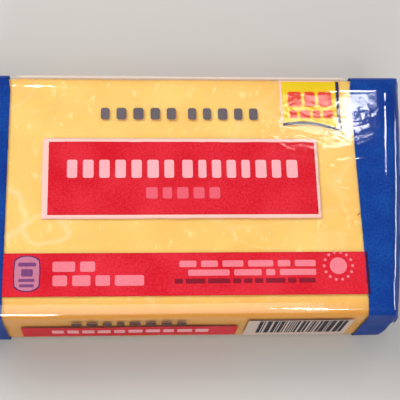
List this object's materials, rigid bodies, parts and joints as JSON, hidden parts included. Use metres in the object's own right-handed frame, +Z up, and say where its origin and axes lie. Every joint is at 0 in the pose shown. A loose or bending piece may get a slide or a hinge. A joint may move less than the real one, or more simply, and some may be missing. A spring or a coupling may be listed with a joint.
{
  "type": "film-wrapped cheddar block",
  "caption": "Flat rectangular block of cheddar sealed in glossy film, with a clear printed window between coloured end bands and a crimped seal folded down at each end.",
  "frame": {"origin": "under the middle of the pack, on the surface that it rests on", "axes": "+X along the block's length, +Y from its front face to its back face, +Z up from its flat underside"},
  "size_m": [0.1634, 0.089, 0.0325],
  "materials": {
    "film_over_cheese": "gloss",
    "cheddar": "satin",
    "blue_film": "gloss",
    "print_red": "gloss",
    "print_pale": "gloss",
    "print_yellow": "gloss",
    "print_dark": "gloss"
  },
  "bodies": {
    "root": {"wrapped_cheddar_block": "film_over_cheese"}
  },
  "joints": []
}
